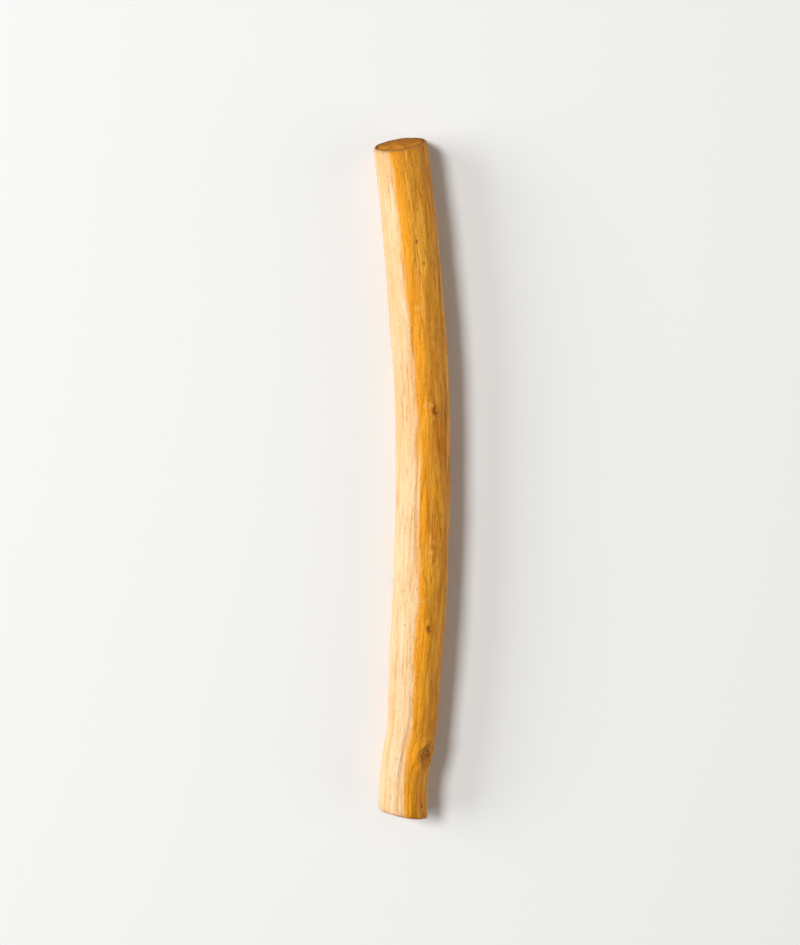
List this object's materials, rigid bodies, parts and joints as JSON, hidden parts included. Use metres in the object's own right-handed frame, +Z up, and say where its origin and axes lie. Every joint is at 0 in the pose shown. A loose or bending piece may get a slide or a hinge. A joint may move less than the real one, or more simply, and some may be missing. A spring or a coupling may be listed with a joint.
{
  "type": "miswak stick",
  "caption": "Natural tooth-cleaning twig: a cut length of dried root with golden-brown bark, gently bowed, with slanted sawn ends and small rootlet scars.",
  "frame": {"origin": "on the surface that the stick lies on, below the middle of its bounding box", "axes": "+Y along the stick towards its thick end, +X to the side that the stick bows towards, +Z up from the surface"},
  "size_m": [0.017, 0.15, 0.0118],
  "materials": {
    "bark": "dry golden-brown bark, satin, finely furrowed lengthwise; the cut ends are golden-brown fibrous wood ringed by darker bark"
  },
  "bodies": {
    "root": {"stick": "bark"}
  },
  "joints": []
}
